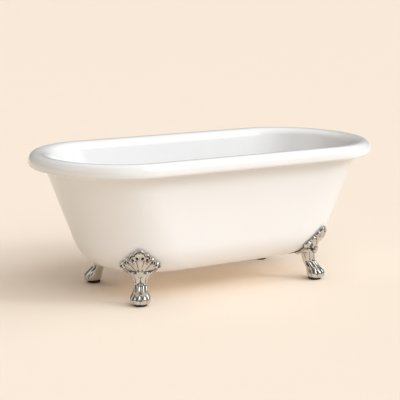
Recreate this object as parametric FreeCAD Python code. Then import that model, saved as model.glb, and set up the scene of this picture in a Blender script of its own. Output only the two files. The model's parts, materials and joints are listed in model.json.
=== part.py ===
import FreeCAD, Part
import math
import os
from FreeCAD import Matrix, Placement, Rotation, Vector

# Double-ended roll-top bathtub with two acrylic skins, on four cast claw feet with screw levellers.
# Frame: millimetres, X along the tub, +Y to its back, +Z up, origin on the floor under its centre.
# Every plan outline is two straight sides and four quarter ellipses: (a, b, s) is its half length,
# half width and the half length of its straight sides, and (a, b, s, z) puts it at a height.

# ---- driving dimensions: overall
LENGTH = 1524.0
WIDTH = 776.0
HEIGHT = 590.0
RIM_STRAIGHT = 425.0

# ---- rolled rim: insets from the widest outline, and drops from the top
RIM_DROP = 55.0
WIDEST_DROP = 37.0
RIDGE_INSET = 34.0
LIP_INSET = 28.0

# ---- outer skin
OUTER_SKIN = 5.0
OUTER_INSET = 64.0
OUTER_FLOOR = 104.0
OUTER_SLOPES = (0.363, 0.149)       # inward run per unit of drop, at the ends and along the sides
OUTER_BEND = (133.0, 128.0)         # how far the bend reaches along the floor, and up the wall
OUTER_FLOOR_STRAIGHT = 219.0

# ---- inner skin, measured on the bathing side
INNER_SKIN = 6.0
WELL_INSET = 92.0
WELL_SHOULDER_DROP = 30.0
WELL_FLOOR = 150.0
WELL_SLOPES = (0.42, 0.24)
WELL_BEND = (92.0, 105.0)
WELL_FLOOR_STRAIGHT = 235.0

BEND_WEIGHT = 0.79                  # makes each bend close to a circular arc
QUARTER_WEIGHT = math.sqrt(0.5)     # makes each end an exact ellipse

# ---- feet: each stands on a pad whose centre is (FOOT_X, FOOT_Y), and faces FOOT_YAW from the tub's length
FOOT_X = 423.0
FOOT_Y = 214.0
FOOT_YAW = 60.0
CREST_THICK = 9.0
CREST_HALF_WIDTH = 82.0
CREST_TOP = 237.0
CREST_TIP_HEIGHT = 160.0
CREST_LOBE = 23.0                   # half width of the crown lobe
CREST_CROWN = 17.0                  # height of the crown lobe over the first notch
CREST_BULGE = 5.0                   # how far each flank lobe bulges
CREST_ROOT_HEIGHT = 112.0
CREST_ROOT_HALF_WIDTH = 34.0
BOSS_HEIGHT = 129.0
BOSS_RADIUS = 14.0
SOLE_HEIGHT = 10.0
PLATE_THICK = 3.0
PLATE_HALF_WIDTH = 38.0
PLATE_REACH = 112.0                 # how far the plate runs in under the belly from the pad's centre
STUD_RADIUS = 4.0
STUD_SIDE = 24.0                    # sideways from the foot's middle to each stud
STUD_TILT = 47.0                    # degrees that the studs lean below the horizontal
STUD_HEIGHT = 146.0                 # where the studs cross the outer skin
BLOCK_THICK = 24.0
WASHER_RADIUS = 8.5
WASHER_THICK = 1.6
NUT_FLATS = 13.0
NUT_THICK = 6.8

# ---- levellers
PAD_RADIUS = 27.0
PAD_THICK = 9.5
LEVELLER_RADIUS = 5.0
LEVELLER_TOP = 60.0
LOCKNUT_FLATS = 17.0
LOCKNUT_THICK = 5.0
LOCKNUT_ROOM = 1.0                  # clearance round the locknut in the paw's recess

# ---- waste, overflow and the pipe between them
WASTE_HOLE = 26.0
PIPE_RADIUS = 10.0
PIPE_WALL = 1.8
OVERFLOW_HEIGHT = 470.0
OVERFLOW_HOLE = 20.0
PIPE_BOTTOM = 122.0
TAIL_RADIUS = 20.0
TAIL_END = 76.0
TAIL_COLLAR = 94.0

CORNERS = {"front_left": (-1, -1), "front_right": (1, -1), "back_left": (-1, 1), "back_right": (1, 1)}
UP = Vector(0, 0, 1)
ORIGIN = Vector(0, 0, 0)


# ---------------------------------------------------------------- skins built from ruled and bent bands

def outline_rows(a, b, s):
    """Pole rows of one outline: its two straight sides, then its four quarter ellipses."""
    rows = [[(-s, sy * b), (s, sy * b)] for sy in (-1, 1)]
    for sx in (-1, 1):
        for sy in (-1, 1):
            rows.append([(sx * s, sy * b), (sx * a, sy * b), (sx * a, 0.0)])
    return rows


def row_weights(row):
    return [1.0, 1.0] if len(row) == 2 else [1.0, QUARTER_WEIGHT, 1.0]


def band_faces(stations):
    """Faces of one band: two stations rule it straight, and a third in the middle bends it."""
    across = [1.0, 1.0] if len(stations) == 2 else [1.0, BEND_WEIGHT, 1.0]
    heights = [station[3] for station in stations]
    rows = [outline_rows(*station[:3]) for station in stations]
    faces = []
    for k in range(6):
        around = row_weights(rows[0][k])
        grid = [[Vector(*row[k][i], z) for row, z in zip(rows, heights)] for i in range(len(around))]
        weights = [[wu * wv for wv in across] for wu in around]
        nu, nv = len(around), len(across)
        surface = Part.BSplineSurface()
        surface.buildFromPolesMultsKnots(
            grid, [nu, nu], [nv, nv], [0, 1], [0, 1], False, False, nu - 1, nv - 1, weights)
        faces.append(surface.toShape())
    return faces


def cap_face(station):
    a, b, s, z = station
    edges = []
    for row in outline_rows(a, b, s):
        n = len(row)
        curve = Part.BSplineCurve()
        poles = [Vector(x, y, z) for x, y in row]
        curve.buildFromPolesMultsKnots(poles, [n, n], [0, 1], False, n - 1, row_weights(row))
        edges.append(curve.toShape())
    return Part.Face(Part.Wire(Part.__sortEdges__(edges)))


def banded_solid(bands, caps=()):
    """Closed solid of bands that share their end outlines, with flat caps where the ends stay open."""
    faces = [cap_face(station) for station in caps]
    for band in bands:
        faces += band_faces(band)
    skin = Part.makeCompound(faces)
    skin.sewShape()
    solid = Part.makeSolid(skin.Shells[0])
    if solid.Volume < 0:
        solid.reverse()
    return solid


def rim_outline(inset, drop):
    return (LENGTH / 2 - inset, WIDTH / 2 - inset, RIM_STRAIGHT, HEIGHT - drop)


def basin(top, floor_z, slopes, bend, floor_straight):
    """Stations of a wall and its bend into a floor: top, bend start, bend corner, floor edge."""
    a, b, s, z = top
    reach, rise = bend
    corner_a = a - slopes[0] * (z - floor_z)
    corner_b = b - slopes[1] * (z - floor_z)
    start_s = floor_straight + (s - floor_straight) * rise / (z - floor_z)
    start = (corner_a + slopes[0] * rise, corner_b + slopes[1] * rise, start_s, floor_z + rise)
    corner = (corner_a, corner_b, floor_straight, floor_z)
    edge = (corner_a - reach, corner_b - reach, floor_straight, floor_z)
    return [top, start, corner, edge]


def grown(stations, d):
    """The same wall and floor moved outward by d, measured square to the wall."""
    lean = math.hypot(1.0, sum(OUTER_SLOPES) / 2)
    top, start, corner, edge = [(a + d * lean, b + d * lean, s, z) for a, b, s, z in stations]
    down = [(a, b, s, z - d) for a, b, s, z in (start, corner, (edge[0] - d, edge[1] - d, edge[2], edge[3]))]
    return [top] + down


OUTER = basin(rim_outline(OUTER_INSET, RIM_DROP), OUTER_FLOOR, OUTER_SLOPES, OUTER_BEND, OUTER_FLOOR_STRAIGHT)


def belly(d):
    """Filled outer shape of the tub's belly, grown by d."""
    top, start, corner, edge = grown(OUTER, d)
    return banded_solid([[top, start], [start, corner, edge]], [top, edge])


def outer_shell():
    top, start, corner, edge = OUTER
    flange_z = RIM_DROP - OUTER_SKIN
    in_top, in_start, in_corner, in_edge = grown(OUTER, -OUTER_SKIN)
    in_top = in_top[:3] + (HEIGHT - flange_z,)
    lip_low = rim_outline(LIP_INSET, RIM_DROP)
    lip_high = rim_outline(LIP_INSET, flange_z)
    bands = [[edge, corner, start], [start, top], [top, lip_low], [lip_low, lip_high],
             [lip_high, in_top], [in_top, in_start], [in_start, in_corner, in_edge]]
    return banded_solid(bands, [edge, in_edge])


def well_shoulder(offset):
    """Crown and inner roll of the rim, moved out into the skin by offset: ridge, control, wall top."""
    roll = WELL_INSET - offset
    z = HEIGHT - WELL_SHOULDER_DROP
    rise = WELL_SHOULDER_DROP - offset
    end = (LENGTH / 2 - roll, WIDTH / 2 - roll, RIM_STRAIGHT, z)
    control = (end[0] + WELL_SLOPES[0] * rise, end[1] + WELL_SLOPES[1] * rise, RIM_STRAIGHT, HEIGHT - offset)
    return [rim_outline(RIDGE_INSET, offset), control, end]


def inner_shell():
    t = INNER_SKIN
    ridge, roll, wall_top = well_shoulder(0.0)
    _, start, corner, edge = basin(wall_top, WELL_FLOOR, WELL_SLOPES, WELL_BEND, WELL_FLOOR_STRAIGHT)
    under_ridge, under_roll, under_top = well_shoulder(t)
    _, under_start, under_corner, under_edge = basin(
        under_top, WELL_FLOOR - t, WELL_SLOPES, (WELL_BEND[0] + t, WELL_BEND[1] + t), WELL_FLOOR_STRAIGHT)
    widest = rim_outline(0.0, WIDEST_DROP)
    lip = rim_outline(LIP_INSET, RIM_DROP)
    under_widest = rim_outline(t, WIDEST_DROP)
    under_lip = rim_outline(LIP_INSET, RIM_DROP - t)
    bands = [[edge, corner, start], [start, wall_top], [wall_top, roll, ridge],
             [ridge, rim_outline(0.0, 0.0), widest], [widest, rim_outline(0.0, RIM_DROP), lip],
             [lip, under_lip], [under_lip, rim_outline(t, RIM_DROP - t), under_widest],
             [under_widest, rim_outline(t, t), under_ridge], [under_ridge, under_roll, under_top],
             [under_top, under_start], [under_start, under_corner, under_edge]]
    return banded_solid(bands, [edge, under_edge])


def rim_resin():
    """Bead of resin that bonds the outer skin's flange to the rolled rim."""
    low, high = RIM_DROP - OUTER_SKIN, RIM_DROP - OUTER_SKIN - 8.0
    near, far = LIP_INSET + 4.0, LIP_INSET + 18.0
    corners = [rim_outline(near, low), rim_outline(far, low), rim_outline(far, high), rim_outline(near, high)]
    return banded_solid([[corners[k], corners[(k + 1) % 4]] for k in range(4)])


# ---------------------------------------------------------------- small helpers

def tube(radius, bore, low, high, x=0.0, y=0.0):
    body = Part.makeCylinder(radius, high - low, Vector(x, y, low), UP)
    return body if bore == 0 else body.cut(Part.makeCylinder(bore, high - low, Vector(x, y, low), UP))


def hexagon(across_flats, bore, low, high):
    r = across_flats / math.sqrt(3)
    points = [Vector(r * math.cos(k * math.pi / 3), r * math.sin(k * math.pi / 3), low) for k in range(7)]
    prism = Part.Face(Part.makePolygon(points)).extrude(Vector(0, 0, high - low))
    return prism.cut(Part.makeCylinder(bore, high - low, Vector(0, 0, low), UP)) if bore else prism


def outline_prism(a, b, s, low, high):
    return cap_face((a, b, s, low)).extrude(Vector(0, 0, high - low))


def turned(points):
    """Solid of revolution about Z of a closed outline of (radius, height) points."""
    wire = Part.makePolygon([Vector(r, 0, z) for r, z in points + points[:1]])
    return Part.Face(wire).revolve(Vector(0, 0, 0), UP, 360)


# ---------------------------------------------------------------- one foot, in its own frame
# Local X points out of the tub, Y is to the side, and the origin is the pad's centre on the floor.

def to_local(shape):
    """Bring the back right corner of the tub into the foot's own frame."""
    moved = shape.copy()
    moved.Placement = Placement(Vector(FOOT_X, FOOT_Y, 0), Rotation(UP, FOOT_YAW)).inverse()
    return moved


def at_corner(shape, corner):
    """Place a foot-frame shape at a corner; corners off the diagonal are mirror images."""
    sx, sy = corner
    placed = shape.copy()
    placed.Placement = Placement(Vector(FOOT_X, FOOT_Y, 0), Rotation(UP, FOOT_YAW)).multiply(placed.Placement)
    if sx < 0:
        placed = placed.mirror(ORIGIN, Vector(1, 0, 0))
    if sy < 0:
        placed = placed.mirror(ORIGIN, Vector(0, 1, 0))
    return placed


def crest_outline():
    """Fan seen from the front: a round top lobe, smaller lobes down each flank, and concave lower edges."""
    flank = Vector(0, CREST_HALF_WIDTH - CREST_LOBE, CREST_TIP_HEIGHT - CREST_TOP + CREST_CROWN)
    shoulder = Vector(0, CREST_LOBE, CREST_TOP - CREST_CROWN)
    notches = [shoulder + flank * (k / 3) for k in range(4)]
    outward = Vector(0, -flank.z, flank.y).normalize()
    right = [Part.Arc(low, (low + high) * 0.5 + outward * CREST_BULGE, high).toShape()
             for low, high in zip(notches, notches[1:])]
    root = Vector(0, CREST_ROOT_HALF_WIDTH, CREST_ROOT_HEIGHT)
    waist = (notches[-1] + root) * 0.5 + Vector(0, -6, 6)
    right.append(Part.Arc(notches[-1], waist, root).toShape())
    mirror = Matrix(1, 0, 0, 0, 0, -1, 0, 0, 0, 0, 1, 0)
    left = [edge.transformGeometry(mirror) for edge in right]
    over = Vector(0, -CREST_LOBE, shoulder.z)
    crown = Part.Arc(over, Vector(0, 0, CREST_TOP), shoulder).toShape()
    base = Part.makeLine(Vector(0, -root.y, root.z), root)
    return Part.Wire(Part.__sortEdges__(right + left + [crown, base]))


def leg():
    """Leg and paw as a loft of ellipses: (height, centre out, half depth, half width)."""
    sections = [(SOLE_HEIGHT, 6, 30, 34), (18, 5, 36, 39), (30, 3, 37, 40), (44, -3, 35, 36), (58, -13, 31.5, 31),
                (76, -26, 27.5, 29.3), (97, -32, 28.4, 32), (117, -36, 32, 37.5), (140, -36, 37, 50),
                (165, -30, 36, 62)]
    wires = []
    for z, out, depth, width in sections:
        centre = Vector(out, 0, z)
        along, across = Vector(depth, 0, 0), Vector(0, width, 0)
        if width > depth:
            along, across = across, along
        wires.append(Part.Wire(Part.Ellipse(centre + along, centre + across, centre).toShape()))
    return Part.makeLoft(wires, True, False)


def toes():
    """Four rounded toes across the front of the paw: (sideways, out, radius)."""
    places = [(-28, 20, 11.5), (-10, 27.5, 12.0), (10, 27.5, 12.0), (28, 20, 11.5)]
    return [Part.makeSphere(radius, Vector(out, side, SOLE_HEIGHT + radius + 1)) for side, out, radius in places]


def stud_frame():
    """Placement whose Z axis leaves the tub along the studs, with its origin on the outer skin."""
    out = Vector(math.cos(math.radians(STUD_TILT)), 0, -math.sin(math.radians(STUD_TILT)))
    return Placement(Vector(-29.0, 0, STUD_HEIGHT), Rotation(UP, out))


def stud_rod(radius, low, high, side):
    rod = Part.makeCylinder(radius, high - low, Vector(0, side, low), UP)
    rod.Placement = stud_frame()
    return rod


def foot_shapes():
    """The parts of one foot in its own frame, by node name."""
    skin = to_local(belly(0.0))
    plate_face = to_local(belly(PLATE_THICK))
    crest_face = to_local(belly(PLATE_THICK + CREST_THICK))
    inside = to_local(belly(-OUTER_SKIN))
    sides = (-STUD_SIDE, STUD_SIDE)
    rods = [stud_rod(STUD_RADIUS, -BLOCK_THICK - 16, 16, side) for side in sides]

    fan = Part.Face(crest_outline()).extrude(Vector(170, 0, 0)).translated(Vector(-120, 0, 0))
    crest = fan.common(crest_face)
    boss = Part.makeSphere(BOSS_RADIUS, Vector(-4, 0, BOSS_HEIGHT))
    foot = crest.fuse([leg(), boss] + toes()).cut(plate_face)
    recess = tube(LOCKNUT_FLATS / math.sqrt(3) + LOCKNUT_ROOM, 0, 0, SOLE_HEIGHT + LOCKNUT_THICK + LOCKNUT_ROOM)
    foot = foot.cut(rods + [recess, tube(LEVELLER_RADIUS + 0.05, 0, 0, LEVELLER_TOP)])

    strip = Part.makeBox(PLATE_REACH - 22, 2 * PLATE_HALF_WIDTH, 120, Vector(-PLATE_REACH, -PLATE_HALF_WIDTH, 80))
    plate = strip.common(plate_face).cut([skin] + rods)

    pocket = Part.makeBox(64, 96, BLOCK_THICK + 60, Vector(-32, -48, -BLOCK_THICK))
    pocket.Placement = stud_frame()
    block = pocket.common(inside).cut(rods)

    washers = []
    nuts = []
    for side in sides:
        washer_low = -BLOCK_THICK - WASHER_THICK
        washer = tube(WASHER_RADIUS, STUD_RADIUS, washer_low, -BLOCK_THICK, y=side)
        nut = hexagon(NUT_FLATS, STUD_RADIUS, washer_low - NUT_THICK, washer_low).translated(Vector(0, side, 0))
        for made, group in ((washer, washers), (nut, nuts)):
            made.Placement = stud_frame().multiply(made.Placement)
            group.append(made)
    return {"foot": foot, "foot_plate": plate, "foot_block": block,
            "foot_studs": rods, "foot_washers": washers, "foot_nuts": nuts}


def leveller_shapes():
    ball = 8.0
    floor = 4.0
    pad = turned([(0, 0), (PAD_RADIUS - 2, 0), (PAD_RADIUS, 2), (PAD_RADIUS, PAD_THICK - 2),
                  (PAD_RADIUS - 2, PAD_THICK), (ball + 0.05, PAD_THICK), (ball + 0.05, floor), (0, floor)])
    stud = tube(LEVELLER_RADIUS, 0, floor, LEVELLER_TOP - 8).fuse(tube(ball, 0, floor, PAD_THICK - 0.5))
    locknut = hexagon(LOCKNUT_FLATS, LEVELLER_RADIUS, SOLE_HEIGHT + 0.5, SOLE_HEIGHT + 0.5 + LOCKNUT_THICK)
    return {"leveller_pad": pad, "leveller_stud": stud, "leveller_locknut": locknut}


# ---------------------------------------------------------------- waste, plug and overflow

def waste_shapes():
    skin_low = WELL_FLOOR - INNER_SKIN
    seat = WELL_FLOOR + 1.5
    tube_radius = WASTE_HOLE - 1.0
    washer_low = skin_low - 4
    body_top = washer_low
    thread_low = body_top - 10
    upper_washer = tube(33, tube_radius, WELL_FLOOR, seat)
    lower_washer = tube(36, tube_radius, washer_low, skin_low)
    flange = turned([(tube_radius, thread_low), (tube_radius, seat), (35, seat), (35, seat + 1), (31, seat + 2.5),
                     (22, seat + 2.5), (20.5, seat), (20.5, thread_low)])
    bars = [Part.makeBox(42, 4, 4, Vector(-21, -2, thread_low + 1)),
            Part.makeBox(4, 42, 4, Vector(-2, -21, thread_low + 1))]
    flange = flange.fuse(bars).cut(Part.makeCylinder(5, 30, Vector(0, 0, thread_low - 5), UP))
    cartridge = turned([(3.2, thread_low - 6), (7.5, thread_low - 6), (7.5, thread_low), (5, thread_low),
                        (5, thread_low + 5), (7.5, thread_low + 5), (7.5, thread_low + 12), (3.2, thread_low + 12)])
    outlet_low = OUTER_FLOOR + 4
    body = turned([(tube_radius, body_top), (36, body_top), (36, body_top - 4), (33, body_top - 4),
                   (33, outlet_low + 8), (24, outlet_low), (24, outlet_low - 9), (TAIL_RADIUS, outlet_low - 9),
                   (TAIL_RADIUS, outlet_low + 2), (30, outlet_low + 9), (30, thread_low), (tube_radius, thread_low)])
    spigot_hole = Part.makeCylinder(PIPE_RADIUS - PIPE_WALL, 24, Vector(0, -52, PIPE_BOTTOM), Vector(0, 1, 0))
    spigot = Part.makeCylinder(PIPE_RADIUS + 2.5, 22, Vector(0, -52, PIPE_BOTTOM), Vector(0, 1, 0))
    socket = Part.makeCylinder(PIPE_RADIUS, 12, Vector(0, -52, PIPE_BOTTOM), Vector(0, 1, 0))
    core = tube(30, 0, PIPE_BOTTOM - 13, PIPE_BOTTOM + 13)
    body = body.fuse(spigot.cut(core)).cut([spigot_hole, socket])
    outlet_nut = hexagon(58, TAIL_RADIUS + 0.3, TAIL_COLLAR, outlet_low - 2).cut(
        tube(24, 0, TAIL_COLLAR + 3, outlet_low))
    bore = TAIL_RADIUS - 2
    tail = turned([(bore, TAIL_END), (TAIL_RADIUS, TAIL_END), (TAIL_RADIUS, TAIL_COLLAR), (TAIL_RADIUS - 1, TAIL_COLLAR),
                   (TAIL_RADIUS - 1, outlet_low), (bore, outlet_low)])
    return {"waste_upper_washer": upper_washer, "waste_lower_washer": lower_washer, "waste_flange": flange,
            "plug_cartridge": cartridge, "waste_body": body, "waste_outlet_nut": outlet_nut, "waste_tailpiece": tail}


def plug_shapes():
    seat = WELL_FLOOR + 4.0
    seal = tube(29, 22, seat, seat + 2)
    plug = turned([(0, seat), (22, seat), (22, seat + 2), (31, seat + 2), (31, seat + 4), (24, seat + 6.5), (0, seat + 8)])
    stem = tube(3.1, 0, WELL_FLOOR - INNER_SKIN - 22, seat)
    return {"waste_plug": plug, "plug_seal": seal, "plug_stem": stem}


def overflow_shapes():
    """Overflow through the front wall, in a frame whose Z axis enters the well square to the wall."""
    lean = math.degrees(math.atan(WELL_SLOPES[1]))
    wall_y = -(WIDTH / 2 - WELL_INSET - WELL_SLOPES[1] * (HEIGHT - WELL_SHOULDER_DROP - OVERFLOW_HEIGHT))
    frame = Placement(Vector(0, wall_y, OVERFLOW_HEIGHT), Rotation(Vector(1, 0, 0), -90 + lean))
    t = INNER_SKIN
    gasket = tube(27, OVERFLOW_HOLE, -t - 3.5, -t - 0.5)
    cover = turned([(20.5, 0.3), (32, 0.3), (32, 3), (27, 8), (2.5, 9.5), (2.5, 7.5), (26, 6), (29, 2.3), (20.5, 2.3)])
    spokes = [Rotation(UP, 45.0 * k).multVec(Vector(15, 0, 0)) for k in range(8)]
    cover = cover.cut([tube(3.5, 0, 2, 12, x=spoke.x, y=spoke.y) for spoke in spokes])
    elbow_low = -t - 3.5 - 15.5
    elbow = turned([(0, elbow_low), (25, elbow_low), (25, -t - 3.5), (OVERFLOW_HOLE, -t - 3.5),
                    (OVERFLOW_HOLE, elbow_low + 2.5), (0, elbow_low + 2.5)])
    screw = tube(2.5, 0, elbow_low + 2.5, 10.0).fuse(tube(5.0, 0, 9.5, 11.5))
    hole = Part.makeCylinder(OVERFLOW_HOLE, 40, Vector(0, 0, -20), UP)
    placed = {}
    for name, shape in (("overflow_gasket", gasket), ("overflow_cover", cover), ("overflow_elbow", elbow),
                        ("overflow_screw", screw), ("hole", hole)):
        moved = shape.copy()
        moved.Placement = frame.multiply(moved.Placement)
        placed[name] = moved
    return placed


def pipe_path():
    """Overflow pipe between the skins: three straight runs joined by two tangent arcs."""
    points = [Vector(0, -290, 444), Vector(0, -243, 188), Vector(0, -158, PIPE_BOTTOM), Vector(0, -40, PIPE_BOTTOM)]
    radius = 105.0
    edges = []
    start = points[0]
    for before, corner, after in zip(points, points[1:], points[2:]):
        into = (corner - before).normalize()
        out = (after - corner).normalize()
        turn = into.getAngle(out)
        cut = radius * math.tan(turn / 2)
        first, last = corner - into * cut, corner + out * cut
        bisector = (out - into).normalize()
        middle = corner + bisector * (radius / math.cos(turn / 2) - radius)
        edges.append(Part.makeLine(start, first))
        edges.append(Part.Arc(first, middle, last).toShape())
        start = last
    edges.append(Part.makeLine(start, points[-1]))
    return Part.Wire(edges)


def swept(radius, path):
    start = path.OrderedEdges[0]
    direction = start.tangentAt(start.FirstParameter)
    section = Part.Wire(Part.makeCircle(radius, path.OrderedVertexes[0].Point, direction))
    return path.makePipeShell([section], True, False)


# ---------------------------------------------------------------- assembly

def assembly():
    nodes = {"inner_shell": inner_shell(), "outer_shell": outer_shell(), "rim_resin_bead": rim_resin()}

    skin_low = WELL_FLOOR - INNER_SKIN
    board_low = skin_low - 18
    board = outline_prism(385, 100, 215, board_low, skin_low).cut(tube(44, 0, board_low, skin_low))
    board = board.cut(Part.makeBox(36, 90, 12, Vector(-18, -120, board_low)))
    nodes["base_board"] = board
    for name, x in (("batten_left", -230), ("batten_right", 230)):
        nodes[name] = Part.makeBox(90, 190, board_low - OUTER_FLOOR - OUTER_SKIN,
                                   Vector(x - 45, -95, OUTER_FLOOR + OUTER_SKIN))

    overflow = overflow_shapes()
    overflow_hole = overflow.pop("hole")
    path = pipe_path()
    pipe_core = swept(PIPE_RADIUS, path)
    lane = swept(PIPE_RADIUS - PIPE_WALL, path)
    overflow["overflow_elbow"] = overflow["overflow_elbow"].cut(pipe_core)
    waste = waste_shapes()
    pipe = pipe_core.cut([lane, Part.makeCylinder(40, 60, Vector(0, 0, OUTER_FLOOR), UP)])
    nodes["overflow_pipe"] = pipe
    nodes.update(waste)
    nodes.update(overflow)
    nodes.update(plug_shapes())

    nodes["inner_shell"] = nodes["inner_shell"].cut([tube(WASTE_HOLE, 0, skin_low - 2, WELL_FLOOR + 2), overflow_hole])
    nodes["outer_shell"] = nodes["outer_shell"].cut(tube(42, 0, OUTER_FLOOR - 2, OUTER_FLOOR + OUTER_SKIN + 2))

    groups = {"foot_studs": [], "foot_washers": [], "foot_nuts": []}
    foot = foot_shapes()
    leveller = leveller_shapes()
    for corner_name, corner in CORNERS.items():
        for name in ("foot", "foot_plate", "foot_block"):
            nodes[name + "_" + corner_name] = at_corner(foot[name], corner)
        for name, shape in leveller.items():
            nodes[name + "_" + corner_name] = at_corner(shape, corner)
        for name, group in groups.items():
            group += [at_corner(shape, corner) for shape in foot[name]]
    for name, group in groups.items():
        nodes[name] = Part.makeCompound(group)
    nodes["outer_shell"] = nodes["outer_shell"].cut(groups["foot_studs"])
    return nodes


os.makedirs("parts", exist_ok=True)
for node_name, node_shape in assembly().items():
    node_shape.exportStep("parts/" + node_name + ".step")
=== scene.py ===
import json
import math

import bpy
import numpy as np
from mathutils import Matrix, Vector

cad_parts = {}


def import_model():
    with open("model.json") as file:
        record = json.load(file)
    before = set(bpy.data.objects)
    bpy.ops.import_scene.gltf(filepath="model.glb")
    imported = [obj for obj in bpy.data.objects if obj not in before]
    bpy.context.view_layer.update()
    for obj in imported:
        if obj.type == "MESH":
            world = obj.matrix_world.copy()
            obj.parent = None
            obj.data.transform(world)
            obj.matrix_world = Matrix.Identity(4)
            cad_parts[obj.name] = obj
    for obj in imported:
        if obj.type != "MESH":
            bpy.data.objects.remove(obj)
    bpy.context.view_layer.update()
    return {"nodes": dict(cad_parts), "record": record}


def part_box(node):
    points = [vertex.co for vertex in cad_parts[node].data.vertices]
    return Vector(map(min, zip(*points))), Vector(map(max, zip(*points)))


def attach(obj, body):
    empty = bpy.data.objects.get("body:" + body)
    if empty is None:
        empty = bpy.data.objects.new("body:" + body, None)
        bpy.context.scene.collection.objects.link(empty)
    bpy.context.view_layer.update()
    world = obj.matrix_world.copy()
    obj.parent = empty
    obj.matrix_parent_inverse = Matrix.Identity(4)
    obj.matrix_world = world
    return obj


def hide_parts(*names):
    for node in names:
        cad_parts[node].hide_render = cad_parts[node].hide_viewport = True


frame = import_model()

# Roll-top bathtub on lion-paw feet. Metres, in the CAD frame: X along the tub, -Y to its front, Z up.
# A plan outline is (a, b, s): half length, half width, and half length of the straight sides between
# two half-ellipse ends. A station is an outline at a height: (a, b, s, z).

MM = 0.001
RIM_LOW, RIM_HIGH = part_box("inner_shell")
HALF_LENGTH, HALF_WIDTH, RIM_TOP = RIM_HIGH.x, RIM_HIGH.y, RIM_HIGH.z
RIM_STRAIGHT = 0.425

# rim: insets from the widest outline, drops from the top
RIM_DROP = 0.055
WIDEST_DROP = 0.037
RIDGE_INSET = 0.034
LIP_INSET = 0.028

OUTER_SKIN = 0.005
OUTER_INSET = 0.064
OUTER_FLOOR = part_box("outer_shell")[0].z
OUTER_SLOPES = (0.363, 0.149)
OUTER_BEND = (0.133, 0.128)
OUTER_FLOOR_STRAIGHT = 0.219
OUTER_HOLE = 0.042
SEAM = 0.0004

INNER_SKIN = 0.006
WELL_INSET = 0.092
WELL_SHOULDER_DROP = 0.030
WELL_FLOOR = RIM_LOW.z + INNER_SKIN
WELL_SLOPES = (0.42, 0.24)
WELL_BEND = (0.092, 0.105)
WELL_FLOOR_STRAIGHT = 0.235
WASTE_HOLE = 0.026

BEND_WEIGHT = 0.79
LIP_WEIGHT = 1.7

PAD_LOW, PAD_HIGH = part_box("leveller_pad_back_right")
FOOT_X, FOOT_Y = (PAD_LOW.x + PAD_HIGH.x) / 2, (PAD_LOW.y + PAD_HIGH.y) / 2
FOOT_YAW = math.radians(60)
PLATE_THICK = 0.003
CREST_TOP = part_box("foot_back_right")[1].z
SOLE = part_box("foot_back_right")[0].z

# fan crest: its outline as (sideways, height)
CREST_HALF_WIDTH = 0.082
CREST_TIP_HEIGHT = 0.160
CREST_ROOT = (0.034, 0.112)
CREST_CENTRE = (0.0, 0.138)
CROWN_HALF_WIDTH = 0.023
CROWN_RISE = 0.017
FLANK_LOBES = 3
FLANK_BULGE = 0.0085
WING_SAG = (-0.007, 0.005)
ROOT_DIP = 0.004

# fan relief in millimetres: ridges and troughs that follow the edge as (height, inset, width)
FAN_THICK = 8.0
EDGE_ROLL = (4.5, 4.5, 2.6)
EDGE_TROUGH = (4.2, 11.0, 3.2)
SKIRT_RIDGE = (2.6, 15.0, 2.4)
EDGE_ROUND = 3.5
EDGE_THIN = 1.2
FLUTES = 7.0
FLUTE_HEIGHT = 2.0
POCKETS = [(0.0105, 0.200, 1.1), (0.029, 0.1915, 1.35), (0.047, 0.181, 0.9), (0.0635, 0.168, 1.2)]
POCKET_RIM = (3.0, 6.2, 1.7)
POCKET_HOLLOW = (7.5, 3.7)
CROWN_DIMPLE = (4.5, 9.0, 3.6)
KNEE = 0.034
KNEE_SHARE = 0.25

# leg and paw: how far out its middle is, its front-to-back radius and its sideways radius, up the leg
LEG_HEIGHTS = np.array([10, 13, 20, 30, 44, 58, 76, 97, 117, 130, 142]) * MM
LEG_OUT = np.array([6, 5.5, 4.5, 3, -3, -13, -26, -32, -34, -37, -42]) * MM
LEG_DEPTH = np.array([28, 33, 36.5, 37, 34, 30.5, 27.5, 28.4, 31.5, 30.5, 22]) * MM
LEG_WIDTH = np.array([31, 36, 39.5, 40, 36, 31, 28.5, 30, 39, 52, 44]) * MM
TOE_VALLEYS = np.radians([-140, -94, -47, 0, 47, 94, 140])
TOE_HALF_ANGLE = math.radians(23.5)
TOE_SWELL, KNUCKLE_SWELL = 4.2 * MM, 2.5 * MM
DROP_ANGLE, DROP_DEPTH = math.radians(11), 5.5 * MM
CREASE_ANGLE, CREASE_DEPTH = math.radians(5), 1.0 * MM
FLUTE_ANGLE, FLUTE_DEPTH = math.radians(8), 3.0 * MM

# boss under the fan
BOSS_HEIGHT = 0.129
BOSS_RADIUS = 0.016
BOSS_OUT = 0.0015
BOSS_FLATNESS = 0.6
BOSS_TILT = math.radians(14)
PETALS = 4

CORNERS = {"front_left": (-1, -1), "front_right": (1, -1), "back_left": (-1, 1), "back_right": (1, 1)}


# ------------------------------------------------------------------ mesh helpers

def mesh_object(name, points, faces, smooth_angle=None):
    """Object from an (n, 3) array of points and an (m, 4) or (m, 3) array of faces, shaded smooth."""
    mesh = bpy.data.meshes.new(name)
    mesh.from_pydata(np.asarray(points).tolist(), [], np.asarray(faces).tolist())
    mesh.shade_smooth()
    if smooth_angle is not None:
        mesh.set_sharp_from_angle(angle=smooth_angle)
    obj = bpy.data.objects.new(name, mesh)
    bpy.context.scene.collection.objects.link(obj)
    return obj


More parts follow.
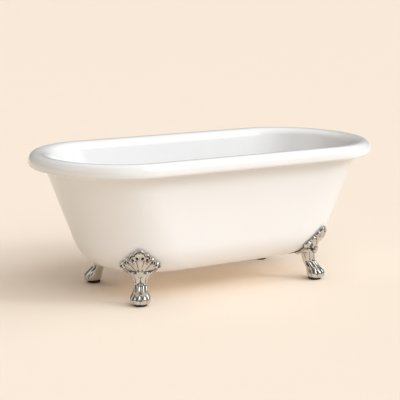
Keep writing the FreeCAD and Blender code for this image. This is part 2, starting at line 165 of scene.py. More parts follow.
def grid_faces(rows, columns, wrap_rows=False, wrap_columns=True):
    """Quads of a grid stored row by row, closed along either direction that wraps."""
    i = np.arange(rows if wrap_rows else rows - 1)[:, None]
    j = np.arange(columns if wrap_columns else columns - 1)[None, :]
    i2, j2 = (i + 1) % rows, (j + 1) % columns
    corners = (i * columns + j, i * columns + j2, i2 * columns + j2, i2 * columns + j)
    return np.stack([np.broadcast_to(c, (i.shape[0], j.shape[1])) for c in corners], axis=-1).reshape(-1, 4)


def outward(points, faces):
    """The same faces, turned so that the closed surface's signed volume is positive."""
    p = np.asarray(points)[np.asarray(faces)]
    volume = np.einsum("ij,ij->", p[:, 0], np.cross(p[:, 1] - p[:, 0], p[:, 2] - p[:, 0]))
    if faces.shape[1] == 4:
        volume += np.einsum("ij,ij->", p[:, 0], np.cross(p[:, 2] - p[:, 0], p[:, 3] - p[:, 0]))
    return faces if volume > 0 else faces[:, ::-1]


def closed_rows(grid):
    """Points and faces of a (rows, columns, 3) grid that wraps along its columns, with a point at each end."""
    rows, columns = grid.shape[:2]
    points = np.vstack([grid.reshape(-1, 3), grid[0].mean(0), grid[-1].mean(0)])
    quads = grid_faces(rows, columns)
    start, end = rows * columns, rows * columns + 1
    j = np.arange(columns)
    k = (j + 1) % columns
    last = (rows - 1) * columns
    fans = np.vstack([np.stack([k, j, np.full(columns, start)], 1),
                      np.stack([last + j, last + k, np.full(columns, end)], 1)])
    triangles = np.vstack([quads[:, [0, 1, 2]], quads[:, [0, 2, 3]], fans])
    return points, outward(points, triangles)


# ------------------------------------------------------------------ the two skins

def ruled(first, last, count):
    """Stations in a straight line from first to last, without last."""
    t = np.linspace(0, 1, count, endpoint=False)[:, None]
    return np.asarray(first) * (1 - t) + np.asarray(last) * t


def bent(first, corner, last, count, weight=BEND_WEIGHT):
    """Stations along a conic from first to last, drawn towards corner by weight, without last."""
    t = np.linspace(0, 1, count, endpoint=False)[:, None]
    p, q, r = (1 - t) ** 2, 2 * weight * t * (1 - t), t ** 2
    return (p * np.asarray(first) + q * np.asarray(corner) + r * np.asarray(last)) / (p + q + r)


def rim_outline(inset, drop):
    return (HALF_LENGTH - inset, HALF_WIDTH - inset, RIM_STRAIGHT, RIM_TOP - drop)


def basin(top, floor_z, slopes, bend, floor_straight):
    """Stations of a wall and its bend into a floor: top, bend start, bend corner, floor edge."""
    a, b, s, z = top
    reach, rise = bend
    corner_a = a - slopes[0] * (z - floor_z)
    corner_b = b - slopes[1] * (z - floor_z)
    start_s = floor_straight + (s - floor_straight) * rise / (z - floor_z)
    start = (corner_a + slopes[0] * rise, corner_b + slopes[1] * rise, start_s, floor_z + rise)
    corner = (corner_a, corner_b, floor_straight, floor_z)
    edge = (corner_a - reach, corner_b - reach, floor_straight, floor_z)
    return [top, start, corner, edge]


def grown(stations, d):
    """The same wall and floor moved outward by d."""
    lean = math.hypot(1.0, sum(OUTER_SLOPES) / 2)
    top, start, corner, edge = [(a + d * lean, b + d * lean, s, z) for a, b, s, z in stations]
    low = [(a, b, s, z - d) for a, b, s, z in (start, corner, (edge[0] - d, edge[1] - d, edge[2], edge[3]))]
    return [top] + low


OUTER = basin(rim_outline(OUTER_INSET, RIM_DROP), OUTER_FLOOR, OUTER_SLOPES, OUTER_BEND, OUTER_FLOOR_STRAIGHT)


def swept_round(stations, straight=48, end=176):
    """Closed surface: each station's outline is x = s k + (a - s) cos t, y = b sin t, where the sides have
    t at a right angle and k running from -1 to 1, and the ends have k at 1 or -1 and t turning half way."""
    k = np.linspace(-1, 1, straight, endpoint=False)
    t = np.linspace(-math.pi / 2, math.pi / 2, end, endpoint=False)
    along = np.concatenate([k, np.ones(end), -k, -np.ones(end)])
    turn = np.concatenate([np.full(straight, -math.pi / 2), t, np.full(straight, math.pi / 2), t + math.pi])
    a, b, s, z = (column[:, None] for column in np.asarray(stations, float).T)
    x = s * along + (a - s) * np.cos(turn)
    y = b * np.sin(turn)
    grid = np.stack([x, y, np.broadcast_to(z, x.shape)], axis=-1)
    points = grid.reshape(-1, 3)
    return points, outward(points, grid_faces(*grid.shape[:2], wrap_rows=True))


def well_shoulder(offset):
    """Crown and inner roll of the rim, moved out into the skin by offset: ridge, control, wall top."""
    roll = WELL_INSET - offset
    rise = WELL_SHOULDER_DROP - offset
    end = (HALF_LENGTH - roll, HALF_WIDTH - roll, RIM_STRAIGHT, RIM_TOP - WELL_SHOULDER_DROP)
    control = (end[0] + WELL_SLOPES[0] * rise, end[1] + WELL_SLOPES[1] * rise, RIM_STRAIGHT, RIM_TOP - offset)
    return [rim_outline(RIDGE_INSET, offset), control, end]


def inner_skin_stations():
    """Once round the section of the inner tub: floor, wall and rim on the bathing side, then back inside."""
    t = INNER_SKIN
    hole = (WASTE_HOLE, WASTE_HOLE, 0.0, WELL_FLOOR)
    under_hole = (WASTE_HOLE, WASTE_HOLE, 0.0, WELL_FLOOR - t)
    ridge, roll, wall_top = well_shoulder(0.0)
    _, start, corner, edge = basin(wall_top, WELL_FLOOR, WELL_SLOPES, WELL_BEND, WELL_FLOOR_STRAIGHT)
    under_ridge, under_roll, under_top = well_shoulder(t)
    _, under_start, under_corner, under_edge = basin(
        under_top, WELL_FLOOR - t, WELL_SLOPES, (WELL_BEND[0] + t, WELL_BEND[1] + t), WELL_FLOOR_STRAIGHT)
    widest, lip = rim_outline(0.0, WIDEST_DROP), rim_outline(LIP_INSET, RIM_DROP)
    under_widest, under_lip = rim_outline(t, WIDEST_DROP), rim_outline(LIP_INSET, RIM_DROP - t)
    return np.vstack([
        ruled(hole, edge, 10), bent(edge, corner, start, 22), ruled(start, wall_top, 14),
        bent(wall_top, roll, ridge, 18), bent(ridge, rim_outline(0.0, 0.0), widest, 18),
        bent(widest, rim_outline(0.0, RIM_DROP), lip, 16, LIP_WEIGHT), ruled(lip, under_lip, 1),
        bent(under_lip, rim_outline(t, RIM_DROP - t), under_widest, 6),
        bent(under_widest, rim_outline(t, t), under_ridge, 8), bent(under_ridge, under_roll, under_top, 8),
        ruled(under_top, under_start, 8), bent(under_start, under_corner, under_edge, 10),
        ruled(under_edge, under_hole, 4), ruled(under_hole, hole, 1)])


def outer_skin_stations():
    """Once round the section of the outer skin: belly, wall and flange outside, then back inside."""
    top, start, corner, edge = OUTER
    in_top, in_start, in_corner, in_edge = grown(OUTER, -OUTER_SKIN)
    in_top = in_top[:3] + (RIM_TOP - RIM_DROP + OUTER_SKIN,)
    lip_inset = LIP_INSET + SEAM
    lip_low, lip_high = rim_outline(lip_inset, RIM_DROP), rim_outline(lip_inset, RIM_DROP - OUTER_SKIN)
    hole = (OUTER_HOLE, OUTER_HOLE, 0.0, OUTER_FLOOR)
    in_hole = (OUTER_HOLE, OUTER_HOLE, 0.0, OUTER_FLOOR + OUTER_SKIN)
    return np.vstack([
        ruled(hole, edge, 10), bent(edge, corner, start, 30), ruled(start, top, 22), ruled(top, lip_low, 3),
        ruled(lip_low, lip_high, 1), ruled(lip_high, in_top, 3), ruled(in_top, in_start, 8),
        bent(in_start, in_corner, in_edge, 10), ruled(in_edge, in_hole, 4), ruled(in_hole, hole, 1)])


def skin_object(name, stations, node):
    points, faces = swept_round(stations)
    obj = mesh_object(name, points, faces, math.radians(40))
    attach(obj, "tub")
    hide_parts(node)
    return obj


# ------------------------------------------------------------------ the belly, seen from a foot

def belly_outline(z, d):
    """Outline (a, b, s) of the belly grown by d at heights z: straight above the bend, and on the bend the
    conic's parameter t from its height, which is a quadratic in t."""
    top, start, corner, edge = [np.array(station) for station in grown(OUTER, d)]
    z = np.clip(z, edge[3] + 1e-5, top[3])[..., None]
    up = np.clip((z - start[3]) / (top[3] - start[3]), 0, 1)
    q = np.clip((z - edge[3]) / (start[3] - edge[3]), 0, 1)
    w = BEND_WEIGHT
    qa, qb, qc = 1 - 2 * q + 2 * w * q, -2 * (1 - q) - 2 * w * q, 1 - q
    t = (-qb - np.sqrt(np.maximum(qb * qb - 4 * qa * qc, 0))) / (2 * qa)
    b0, b1, b2 = (1 - t) ** 2, 2 * w * t * (1 - t), t ** 2
    on_bend = (b0 * start + b1 * corner + b2 * edge) / (b0 + b1 + b2)
    section = np.where(z > start[3], start + (top - start) * up, on_bend)
    return section[..., 0], section[..., 1], section[..., 2]


def belly_reach(v, z, d):
    """How far out of a foot's centre line the belly grown by d lies, at v to the side and height z: where
    the foot's outward line crosses the end ellipse of the outline at z."""
    a, b, s = belly_outline(z, d)
    c, n = math.cos(FOOT_YAW), math.sin(FOOT_YAW)
    x0, y0 = FOOT_X - n * v - s, FOOT_Y + c * v
    p, q = 1 / (a - s) ** 2, 1 / b ** 2
    k2, k1, k0 = p * c * c + q * n * n, p * x0 * c + q * y0 * n, p * x0 * x0 + q * y0 * y0 - 1
    return (-k1 + np.sqrt(np.maximum(k1 * k1 - k2 * k0, 0))) / k2


def belly_point(v, z, lift):
    """Points lifted off the mounting plate's face by lift, square to the belly, in the foot's own frame."""
    h = 0.5 * MM
    u = belly_reach(v, z, PLATE_THICK)
    du_dv = (belly_reach(v + h, z, PLATE_THICK) - belly_reach(v - h, z, PLATE_THICK)) / (2 * h)
    du_dz = (belly_reach(v, z + h, PLATE_THICK) - belly_reach(v, z - h, PLATE_THICK)) / (2 * h)
    du_dz = np.minimum(du_dz, 2.0)
    size = np.sqrt(1 + du_dv ** 2 + du_dz ** 2)
    return np.stack([u + lift / size, v - lift * du_dv / size, z - lift * du_dz / size], axis=-1)


# ------------------------------------------------------------------ one foot

def smooth_through(knots, values, at):
    """Cubic through the knots whose slope at each is the mean slope of its two neighbours."""
    knots, values = np.asarray(knots, float), np.asarray(values, float)
    slopes = np.gradient(values, knots)
    i = np.clip(np.searchsorted(knots, at) - 1, 0, len(knots) - 2)
    gap = knots[i + 1] - knots[i]
    t = (at - knots[i]) / gap
    rest = gap * ((t ** 3 - 2 * t ** 2 + t) * slopes[i] + (t ** 3 - t ** 2) * slopes[i + 1])
    return (2 * t ** 3 - 3 * t ** 2 + 1) * values[i] + (3 * t ** 2 - 2 * t ** 3) * values[i + 1] + rest


def crest_edge():
    """Right half of the fan's outline as (v, z): crown lobe, three flank lobes, and the concave lower edge."""
    notch = np.array([CROWN_HALF_WIDTH, CREST_TOP - CROWN_RISE])
    tip = np.array([CREST_HALF_WIDTH, CREST_TIP_HEIGHT])
    root = np.array(CREST_ROOT)
    bottom = np.array([0.0, root[1] - ROOT_DIP])
    t = np.linspace(0, 1, 24, endpoint=False)
    half_turn = t * math.pi / 2
    crown_z = notch[1] + CROWN_RISE * np.cos(half_turn) ** 1.25
    parts = [np.stack([CROWN_HALF_WIDTH * np.sin(half_turn), crown_z], 1)]
    t = t[:, None]
    flank = tip - notch
    away = np.array([-flank[1], flank[0]]) / np.hypot(*flank)
    for k in range(FLANK_LOBES):
        low, high = notch + flank * k / FLANK_LOBES, notch + flank * (k + 1) / FLANK_LOBES
        parts.append(low + (high - low) * t + away * FLANK_BULGE * np.sin(math.pi * t) ** 0.7)
    parts.append(tip + (root - tip) * t + np.array(WING_SAG) * np.sin(math.pi * t))
    parts.append(root + (bottom - root) * t)
    return np.vstack(parts)


def hump(distance, width):
    """Bell curve: one at no distance, falling off over the width."""
    return np.exp(-(distance / width) ** 2)


def plateau(value, middle, reach):
    """Flat-topped bell: close to one within the reach of the middle, and nothing beyond it."""
    return np.exp(-((value - middle) / reach) ** 4)


def along_edge(edge, shape):
    """Ridge that follows the outline: its height times a bell curve round its inset, both in millimetres."""
    height, inset, width = shape
    return height * MM * hump(edge - inset * MM, width * MM)


def crest_relief(v, z, edge):
    """Height of the fan's front over the plate: a thick rolled edge with a trough inside it, flutes that fan
    out from the boss, a doubled ridge along the lower edges, and a row of deep pockets with raised rims."""
    fan = np.arctan2(v, z - BOSS_HEIGHT + 8 * MM)
    out = np.hypot(v, z - BOSS_HEIGHT)
    lower = (z < CREST_TIP_HEIGHT - 2 * MM) & (np.abs(v) > 18 * MM)
    height = FAN_THICK * MM + along_edge(edge, EDGE_ROLL)
    height -= along_edge(edge, EDGE_TROUGH) * np.where(lower, 0.7, 1.0)
    height += np.where(lower, along_edge(edge, SKIRT_RIDGE), 0)
    flute = 2 * np.abs(np.cos(fan * FLUTES)) ** 0.7 - 1
    span = np.clip((out - 12 * MM) / (12 * MM), 0, 1) * np.clip((edge - 12 * MM) / (9 * MM), 0, 1)
    height += span * FLUTE_HEIGHT * MM * flute
    for side in (-1, 1):
        for pocket_v, pocket_z, size in POCKETS:
            away = np.hypot(v - side * pocket_v, (z - pocket_z) / 1.3) / size
            height += along_edge(away, POCKET_RIM)
            height -= POCKET_HOLLOW[0] * MM * hump(away, POCKET_HOLLOW[1] * MM)
    depth, drop, width = CROWN_DIMPLE
    height -= depth * MM * hump(np.hypot(v, z - CREST_TOP + drop * MM), width * MM)
    round_off = np.sqrt(1 - (1 - np.clip(edge / (EDGE_ROUND * MM), 0, 1)) ** 2)
    return np.maximum(height, EDGE_THIN * MM) * round_off


def crest():
    """Fan crest as a closed pillow: rings shrink from its outline to its centre, in front and behind, and
    towards the boss the front swells outward into a knee, by KNEE exp(-(share / KNEE_SHARE) ^ 1.3)."""
    right = crest_edge()
    outline = np.vstack([right, right[::-1] * [-1, 1]])
    angle = np.arctan2(outline[:, 0] - CREST_CENTRE[0], outline[:, 1] - CREST_CENTRE[1])
    radius = np.hypot(outline[:, 0] - CREST_CENTRE[0], outline[:, 1] - CREST_CENTRE[1])
    order = np.argsort(angle)
    turn = np.linspace(-math.pi, math.pi, 640, endpoint=False)
    reach = np.interp(turn, angle[order], radius[order], period=2 * math.pi)
    share = np.sin(np.linspace(0.02, math.pi / 2, 90))[:, None]
    v = CREST_CENTRE[0] + share * reach * np.sin(turn)
    z = CREST_CENTRE[1] + share * reach * np.cos(turn)
    front = belly_point(v, z, crest_relief(v, z, (1 - share) * reach))
    front[..., 0] += KNEE * np.exp(-(share / KNEE_SHARE) ** 1.3)
    back = belly_point(v, z, np.zeros_like(v))[::-1][1:]
    return closed_rows(np.concatenate([front, back]))


def leg():
    """Leg and paw: ellipses up the leg, cut by valleys between the toes that widen into drops at the ankle
    and run on as shallow flutes, kept outside the mounting plate's face."""
    top = LEG_HEIGHTS[-1]
    z = np.concatenate([[SOLE], np.linspace(SOLE + 0.2 * MM, top, 170)])[:, None]
    turn = np.linspace(-math.pi, math.pi, 420, endpoint=False)[None, :]
    out, depth, width = (smooth_through(LEG_HEIGHTS, k, z) for k in (LEG_OUT, LEG_DEPTH, LEG_WIDTH))
    nearest = np.abs(turn[..., None] - TOE_VALLEYS).min(-1)
    crown = np.sqrt(1 - (1 - np.clip(nearest / TOE_HALF_ANGLE, 0, 1)) ** 2)
    ankle = plateau(z, 67 * MM, 14 * MM)
    toe = plateau(z, 26 * MM, 20 * MM)
    flute = np.clip((z - 74 * MM) / (20 * MM), 0, 1)
    knuckle = hump(z - 34 * MM, 11 * MM)
    front = np.clip((np.cos(turn) + 0.65) / 0.5, 0, 1)
    drop = hump(nearest, DROP_ANGLE) * DROP_DEPTH * ankle
    crease = hump(nearest, CREASE_ANGLE) * CREASE_DEPTH * toe
    groove = front * (drop + crease) + hump(nearest, FLUTE_ANGLE) * FLUTE_DEPTH * flute
    change = front * (crown - 0.6) * (TOE_SWELL * toe + KNUCKLE_SWELL * knuckle) - groove
    u = out + (depth + change) * np.cos(turn)
    v = (width + change) * np.sin(turn)
    z = np.broadcast_to(z, u.shape)
    u = np.maximum(u, belly_reach(v, z, PLATE_THICK + 0.0002) - 0.05 * np.clip((0.104 - z) / 0.02, 0, 1))
    return closed_rows(np.stack([u, v, z], axis=-1))


def rosette():
    """Boss under the fan: a flattened ball whose radius R (1 + 0.16 |cos 4t| bell(p - 1) - 0.12 bell(p - 0.42))
    raises eight petals round its outer pole and sinks a ring inside them."""
    t = np.linspace(0, 2 * math.pi, 160, endpoint=False)[None, :]
    p = np.linspace(0.05, math.pi - 0.05, 70)[:, None]
    petal = 0.16 * np.abs(np.cos(PETALS * t)) * hump(p - 1.0, 0.42) - 0.12 * hump(p - 0.42, 0.12)
    r = BOSS_RADIUS * (1 + petal)
    axis_u, axis_z = BOSS_FLATNESS * np.cos(p) * r, np.sin(p) * np.cos(t) * r
    u = BOSS_OUT + axis_u * math.cos(BOSS_TILT) + axis_z * math.sin(BOSS_TILT)
    z = BOSS_HEIGHT - axis_u * math.sin(BOSS_TILT) + axis_z * math.cos(BOSS_TILT)
    return closed_rows(np.stack([u, np.sin(p) * np.sin(t) * r, z], axis=-1))


def tube_along(path, radii, sides=20):
    """Closed tube round a smooth path: circles square to it, of the radius given at each point."""
    path = np.asarray(path)
    ahead = np.gradient(path, axis=0)
    ahead /= np.linalg.norm(ahead, axis=1, keepdims=True)
    side = np.cross(ahead, [1.0, 0.0, 0.02])
    side /= np.linalg.norm(side, axis=1, keepdims=True)
    up = np.cross(ahead, side)
    t = np.linspace(0, 2 * math.pi, sides, endpoint=False)
    ring = np.cos(t)[None, :, None] * side[:, None] + np.sin(t)[None, :, None] * up[:, None]
    return closed_rows(path[:, None] + ring * np.asarray(radii)[:, None, None])


def wing_ribs():
    """Cast ornament: a tapered rib from beside the knee up to each wing tip."""
    made = []
    t = np.linspace(0, 1, 40)
    for side in (-1, 1):
        v = side * (30 + 46 * t) * MM
        z = (BOSS_HEIGHT - 10 * MM) + (42 * t ** 1.25 - 4 * np.sin(math.pi * t)) * MM
        made.append(tube_along(belly_point(v, z, (9.0 - 2.0 * t) * MM), (3.2 - 1.2 * t) * MM))
    return made


def fused(name, shapes, voxel, rounds):
    """One closed surface round overlapping closed shapes: voxel remesh, then a light smoothing."""
    offset, points, faces = 0, [], []
    for shape_points, shape_faces in shapes:
        points.append(shape_points)
        faces.append(shape_faces + offset)
        offset += len(shape_points)
    obj = mesh_object(name, np.vstack(points), np.vstack(faces))
    remesh = obj.modifiers.new("fuse", "REMESH")
    remesh.mode = "VOXEL"
    remesh.voxel_size = voxel
    smooth = obj.modifiers.new("soften", "SMOOTH")
    smooth.factor = 0.5
    smooth.iterations = rounds
    bpy.context.view_layer.update()
    fused_mesh = bpy.data.meshes.new_from_object(obj.evaluated_get(bpy.context.evaluated_depsgraph_get()))
    count = len(fused_mesh.vertices)
    co = np.empty(count * 3)
    fused_mesh.vertices.foreach_get("co", co)
    normal = np.empty(count * 3)
    fused_mesh.vertices.foreach_get("normal", normal)
    corners = np.array([polygon.vertices[:] for polygon in fused_mesh.polygons])
    bpy.data.objects.remove(obj)
    bpy.data.meshes.remove(fused_mesh)
    return co.reshape(-1, 3), normal.reshape(-1, 3), corners


def hollow_value(points, normals, faces):
    """How deep each point lies in a hollow: its neighbours' mean height over it, averaged outwards."""
    ends = np.vstack([faces[:, [0, 1]], faces[:, [1, 2]], faces[:, [2, 3]], faces[:, [3, 0]]])
    ends = np.vstack([ends, ends[:, ::-1]])
    share = 1.0 / np.maximum(np.bincount(ends[:, 0], minlength=len(points)), 1)

    def neighbour_mean(values):
        return np.bincount(ends[:, 0], weights=values[ends[:, 1]], minlength=len(points)) * share

    smooth = points.copy()
    for _ in range(14):
        smooth = np.stack([neighbour_mean(smooth[:, k]) for k in range(3)], axis=1)
    depth = np.einsum("ij,ij->i", smooth - points, normals)
    return np.clip(depth / (1.0 * MM), -1, 1)


def feet():
    """The four feet: one casting, worked out once and placed at each corner, mirrored off the diagonal."""
    voxel = 1.14 * MM
    points, normals, faces = fused("foot_form", [crest(), leg(), rosette()] + wing_ribs(), voxel, 3)
    points[:, 2] = np.clip(points[:, 2], SOLE, CREST_TOP)
    depth = hollow_value(points, normals, faces)
    c, n = math.cos(FOOT_YAW), math.sin(FOOT_YAW)
    x = FOOT_X + c * points[:, 0] - n * points[:, 1]
    y = FOOT_Y + n * points[:, 0] + c * points[:, 1]
    made = []
    for corner, (sx, sy) in CORNERS.items():
        placed = np.stack([sx * x, sy * y, points[:, 2]], axis=1)
        obj = mesh_object("claw_foot_" + corner, placed, faces if sx * sy > 0 else faces[:, ::-1])
        # hollow depth kept on each point; the casting material paints shade into the hollows from it
        attribute = obj.data.attributes.new("hollow", "FLOAT", "POINT")
        attribute.data.foreach_set("value", depth.astype(np.float32))
        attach(obj, "tub")
        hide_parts("foot_" + corner)
        made.append(obj)
    return made


# ------------------------------------------------------------------ shader node groups

def new_group(name, inputs, outputs):
    """Shader node group with named float or colour sockets; returns the tree and its two end nodes."""
    tree = bpy.data.node_groups.new(name, "ShaderNodeTree")
    for label, default in inputs:
        kind = "NodeSocketFloat" if isinstance(default, (int, float)) else "NodeSocketColor"
        tree.interface.new_socket(label, in_out="INPUT", socket_type=kind).default_value = default
    for label, kind in outputs:
        tree.interface.new_socket(label, in_out="OUTPUT", socket_type=kind)
    return tree, tree.nodes.new("NodeGroupInput"), tree.nodes.new("NodeGroupOutput")


def math_node(tree, operation, first, second):
    node = tree.nodes.new("ShaderNodeMath")
    node.operation = operation
    for socket, value in zip(node.inputs, (first, second)):
        if isinstance(value, (int, float)):
            socket.default_value = value
        else:
            tree.links.new(value, socket)
    return node.outputs[0]


def noise_node(tree, scale, detail):
    coordinates = tree.nodes.new("ShaderNodeTexCoord")
    noise = tree.nodes.new("ShaderNodeTexNoise")
    noise.inputs["Detail"].default_value = detail
    tree.links.new(coordinates.outputs["Object"], noise.inputs["Vector"])
    if isinstance(scale, (int, float)):
        noise.inputs["Scale"].default_value = scale
    else:
        tree.links.new(scale, noise.inputs["Scale"])
    return noise.outputs["Fac"]


def mottle_group():
    """Two colours and two roughnesses mixed by soft cloudy noise, and its height for a bump."""
    tree, start, end = new_group(
        "mottle",
        [("Light", (1, 1, 1, 1)), ("Dark", (0.9, 0.9, 0.9, 1)), ("Scale", 6.0), ("Rough low", 0.1),
         ("Rough high", 0.2)],
        [("Color", "NodeSocketColor"), ("Roughness", "NodeSocketFloat"), ("Height", "NodeSocketFloat")])
    noise = noise_node(tree, start.outputs["Scale"], 3.0)
    mix = tree.nodes.new("ShaderNodeMix")
    mix.data_type = "RGBA"
    tree.links.new(noise, mix.inputs["Factor"])
    tree.links.new(start.outputs["Light"], mix.inputs[6])
    tree.links.new(start.outputs["Dark"], mix.inputs[7])
    span = math_node(tree, "SUBTRACT", start.outputs["Rough high"], start.outputs["Rough low"])
    rough = math_node(tree, "ADD", start.outputs["Rough low"], math_node(tree, "MULTIPLY", span, noise))
    tree.links.new(mix.outputs[2], end.inputs["Color"])
    tree.links.new(rough, end.inputs["Roughness"])
    tree.links.new(noise, end.inputs["Height"])
    return tree


MOTTLE = mottle_group()


def finish_material(name, light, dark, scale, rough, bump, metallic=0.0, coat=0.0):
    """Principled finish whose colour and roughness drift with the mottle group, over a faint bump."""
    material = bpy.data.materials.new(name)
    material.use_nodes = True
    tree = material.node_tree
    shader = tree.nodes["Principled BSDF"]
    group = tree.nodes.new("ShaderNodeGroup")
    group.node_tree = MOTTLE
    group.inputs["Light"].default_value = (*light, 1)
    group.inputs["Dark"].default_value = (*dark, 1)
    group.inputs["Scale"].default_value = scale
    group.inputs["Rough low"].default_value = rough[0]
    group.inputs["Rough high"].default_value = rough[1]
    tree.links.new(group.outputs["Color"], shader.inputs["Base Color"])
    tree.links.new(group.outputs["Roughness"], shader.inputs["Roughness"])
    shader.inputs["Metallic"].default_value = metallic
    shader.inputs["Coat Weight"].default_value = coat
    shader.inputs["Coat Roughness"].default_value = 0.04
    if bump:
        node = tree.nodes.new("ShaderNodeBump")
        node.inputs["Strength"].default_value = bump
        node.inputs["Distance"].default_value = 0.4 * MM
        tree.links.new(group.outputs["Height"], node.inputs["Height"])
        tree.links.new(node.outputs["Normal"], shader.inputs["Normal"])
    return material


def chrome_casting():
    """Polished plating: bright on the high points; in the hollows the base colour is darkened as painted shade,
    and the roughness rises.
    """
    material = finish_material("polished_casting", (0.68, 0.665, 0.635), (0.60, 0.585, 0.555), 30.0,
                               (0.06, 0.13), 0.35, metallic=1.0)
    tree = material.node_tree
    shader = tree.nodes["Principled BSDF"]
    attribute = tree.nodes.new("ShaderNodeAttribute")
    attribute.attribute_name = "hollow"
    # painted shade: how deep a point lies in a hollow sets how far its base colour darkens
    painted_shade_mask = tree.nodes.new("ShaderNodeMapRange")
    painted_shade_mask.inputs["From Min"].default_value = 0.14
    painted_shade_mask.inputs["From Max"].default_value = 0.7
    tree.links.new(attribute.outputs["Fac"], painted_shade_mask.inputs["Value"])
    mix = tree.nodes.new("ShaderNodeMix")
    mix.data_type = "RGBA"
    tree.links.new(painted_shade_mask.outputs["Result"], mix.inputs["Factor"])
    tree.links.new(shader.inputs["Base Color"].links[0].from_socket, mix.inputs[6])
    # painted shade: near-black base colour at the bottom of the hollows
    mix.inputs[7].default_value = (0.05, 0.045, 0.04, 1)
    tree.links.new(mix.outputs[2], shader.inputs["Base Color"])
    rough = math_node(tree, "ADD", shader.inputs["Roughness"].links[0].from_socket,
                      math_node(tree, "MULTIPLY", painted_shade_mask.outputs["Result"], 0.3))
    tree.links.new(rough, shader.inputs["Roughness"])
    return material


MATERIALS = {
    "acrylic_inner": finish_material(
        "bathing_skin_acrylic", (0.775, 0.765, 0.75), (0.76, 0.75, 0.735), 5.0, (0.10, 0.16), 0.03, coat=0.12),
    "acrylic_outer": finish_material(
        "outer_skin_acrylic", (0.81, 0.80, 0.785), (0.795, 0.785, 0.77), 4.0, (0.285, 0.34), 0.06, coat=0.25),
    "foot_chrome": chrome_casting(),
    "resin": finish_material("bonding_resin", (0.62, 0.53, 0.36), (0.5, 0.42, 0.28), 60.0, (0.4, 0.6), 0.4),
    "plywood": finish_material(
        "birch_plywood", (0.62, 0.46, 0.28), (0.48, 0.33, 0.18), 25.0, (0.55, 0.75), 0.4),
    "plate_steel": finish_material(
        "black_painted_plate", (0.03, 0.027, 0.024), (0.015, 0.013, 0.012), 40.0, (0.3, 0.45), 0.2),
    "zinc_steel": finish_material(
        "zinc_plated_steel", (0.62, 0.62, 0.58), (0.5, 0.5, 0.47), 90.0, (0.28, 0.4), 0.2, metallic=1.0),
    "pad_plastic": finish_material(
        "black_pad_rubber", (0.022, 0.021, 0.02), (0.012, 0.012, 0.012), 120.0, (0.5, 0.7), 0.4),
    "fitting_chrome": finish_material(
        "polished_fitting", (0.84, 0.84, 0.83), (0.78, 0.78, 0.77), 40.0, (0.04, 0.09), 0.1, metallic=1.0),
    "seal_rubber": finish_material(
        "seal_rubber", (0.03, 0.03, 0.03), (0.018, 0.018, 0.018), 150.0, (0.6, 0.8), 0.4),
    "pipe_plastic": finish_material(
        "waste_pipe_plastic", (0.78, 0.78, 0.76), (0.7, 0.7, 0.68), 50.0, (0.35, 0.5), 0.2),
    "brass": finish_material(
        "turned_brass", (0.68, 0.5, 0.2), (0.55, 0.39, 0.14), 80.0, (0.18, 0.26), 0.2, metallic=1.0),
}


def set_material(obj, slot):
    obj.data.materials.clear()
    obj.data.materials.append(MATERIALS[slot])


# ------------------------------------------------------------------ floor, lights and camera

CAMERA_TARGET = Vector((-0.024, 0.0, 0.3523))
CAMERA_AZIMUTH = math.radians(-30.38)
CAMERA_ELEVATION = math.radians(10.76)
CAMERA_DISTANCE = 5.1006
CAMERA_LENS = 108.6
FILL_STRENGTH = 0.45


def camera():
    data = bpy.data.cameras.new("camera")
    data.lens = CAMERA_LENS
    data.clip_end = 500
    obj = bpy.data.objects.new("camera", data)
    bpy.context.scene.collection.objects.link(obj)
    a, e = CAMERA_AZIMUTH, CAMERA_ELEVATION
    back = Vector((math.sin(a) * math.cos(e), -math.cos(a) * math.cos(e), math.sin(e)))
    obj.location = CAMERA_TARGET + back * CAMERA_DISTANCE
    obj.rotation_mode = "QUATERNION"
    obj.rotation_quaternion = (-back).to_track_quat("-Z", "Y")
    bpy.context.scene.camera = obj


def floor():
    """Plain warm floor, large enough to fill the view."""
    size = 300.0
    obj = mesh_object("studio_floor", [(-size, -size, 0), (size, -size, 0), (size, size, 0), (-size, size, 0)],
                      [[0, 1, 2, 3]])
    material = finish_material("floor_paper", (0.86, 0.74, 0.619), (0.85, 0.73, 0.609), 2.0, (0.8, 0.9), 0.0)
    obj.data.materials.append(material)


def camera_frame(right, front, up):
    """Unit direction from shares of the camera's right, of the way to the camera's side, and of up."""
    a = CAMERA_AZIMUTH
    return (right * Vector((math.cos(a), math.sin(a), 0)) + front * Vector((math.sin(a), -math.cos(a), 0))
            + up * Vector((0, 0, 1))).normalized()


# what gloss sees of the room: direction, inner and outer half angles of a soft-edged panel, and its strength
PANELS = [
    (camera_frame(0.85, 0.35, 0.75), 14, 24, 2.6),
    (camera_frame(-0.9, 0.25, 0.55), 12, 26, 0.9),
    (camera_frame(0.1, -0.4, 0.9), 22, 44, 0.9),
    (camera_frame(0.25, 0.95, 0.30), 8, 20, 0.7),
]
ROOM_SHADE = 0.16


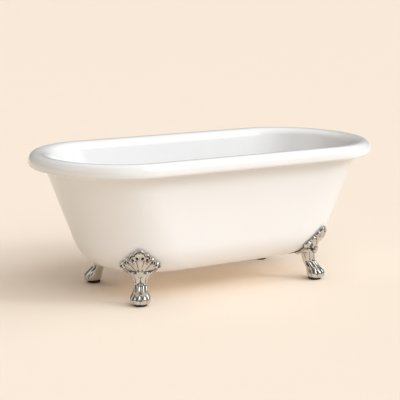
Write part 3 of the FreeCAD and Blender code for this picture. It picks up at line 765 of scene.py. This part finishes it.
def world():
    """Studio surround: even warm light on dull surfaces, and for gloss a darker room with soft panels."""
    surround = bpy.data.worlds.new("studio")
    bpy.context.scene.world = surround
    surround.use_nodes = True
    tree = surround.node_tree
    fill = tree.nodes["Background"]
    fill.inputs["Color"].default_value = (1.0, 0.89, 0.77, 1)
    fill.inputs["Strength"].default_value = FILL_STRENGTH
    direction = tree.nodes.new("ShaderNodeTexCoord").outputs["Generated"]
    total = ROOM_SHADE
    for toward, inner, outer, strength in PANELS:
        dot = tree.nodes.new("ShaderNodeVectorMath")
        dot.operation = "DOT_PRODUCT"
        tree.links.new(direction, dot.inputs[0])
        dot.inputs[1].default_value = toward
        soft = tree.nodes.new("ShaderNodeMapRange")
        soft.interpolation_type = "SMOOTHSTEP"
        soft.inputs["From Min"].default_value = math.cos(math.radians(outer))
        soft.inputs["From Max"].default_value = math.cos(math.radians(inner))
        soft.inputs["To Max"].default_value = strength
        tree.links.new(dot.outputs["Value"], soft.inputs["Value"])
        total = math_node(tree, "ADD", total, soft.outputs["Result"])
    room = tree.nodes.new("ShaderNodeBackground")
    room.inputs["Color"].default_value = (1.0, 0.97, 0.93, 1)
    tree.links.new(total, room.inputs["Strength"])
    ray = tree.nodes.new("ShaderNodeLightPath")
    choose = tree.nodes.new("ShaderNodeMixShader")
    tree.links.new(ray.outputs["Is Glossy Ray"], choose.inputs["Fac"])
    tree.links.new(fill.outputs["Background"], choose.inputs[1])
    tree.links.new(room.outputs["Background"], choose.inputs[2])
    tree.links.new(choose.outputs["Shader"], tree.nodes["World Output"].inputs["Surface"])


def under_glow():
    """Warm light that bounces between the floor and the belly and lifts the shadow under the middle."""
    data = bpy.data.lights.new("under_glow", "AREA")
    data.shape = "ELLIPSE"
    data.size, data.size_y = 0.95, 0.36
    data.energy = 0.20
    data.color = (1.0, 0.80, 0.57)
    obj = bpy.data.objects.new("under_glow", data)
    obj.location = (0.03, 0.0, OUTER_FLOOR - 0.012)
    obj.visible_glossy = False
    obj.visible_camera = False
    bpy.context.scene.collection.objects.link(obj)


def soft_light(name, toward, strength, spread=60):
    """Very large soft source far away; gloss sees the room's panels instead of it."""
    data = bpy.data.lights.new(name, "SUN")
    data.energy = strength
    data.color = (0.86, 0.925, 1.0)
    data.angle = math.radians(spread)
    obj = bpy.data.objects.new(name, data)
    bpy.context.scene.collection.objects.link(obj)
    obj.visible_glossy = False
    obj.rotation_mode = "QUATERNION"
    obj.rotation_quaternion = toward.to_track_quat("Z", "Y")


# ------------------------------------------------------------------ assembly

bpy.context.scene.view_settings.view_transform = "Standard"
camera()
floor()
world()
soft_light("side_key", camera_frame(0.86, -0.12, 0.53), 1.22, spread=50)
soft_light("side_edge", camera_frame(0.86, 0.16, 0.46), 0.64, spread=12)
soft_light("front_key", camera_frame(0.38, 0.54, 0.75), 1.69)
soft_light("back_fill", camera_frame(-0.54, -0.54, 0.64), 0.35)
soft_light("low_fill", camera_frame(0.60, 0.72, 0.35), 0.22)
under_glow()

for entry in frame["record"]["subparts"]:
    set_material(frame["nodes"][entry["node"]], entry["material_slot"])
set_material(skin_object("inner_tub", inner_skin_stations(), "inner_shell"), "acrylic_inner")
set_material(skin_object("outer_skin", outer_skin_stations(), "outer_shell"), "acrylic_outer")
for foot in feet():
    set_material(foot, "foot_chrome")
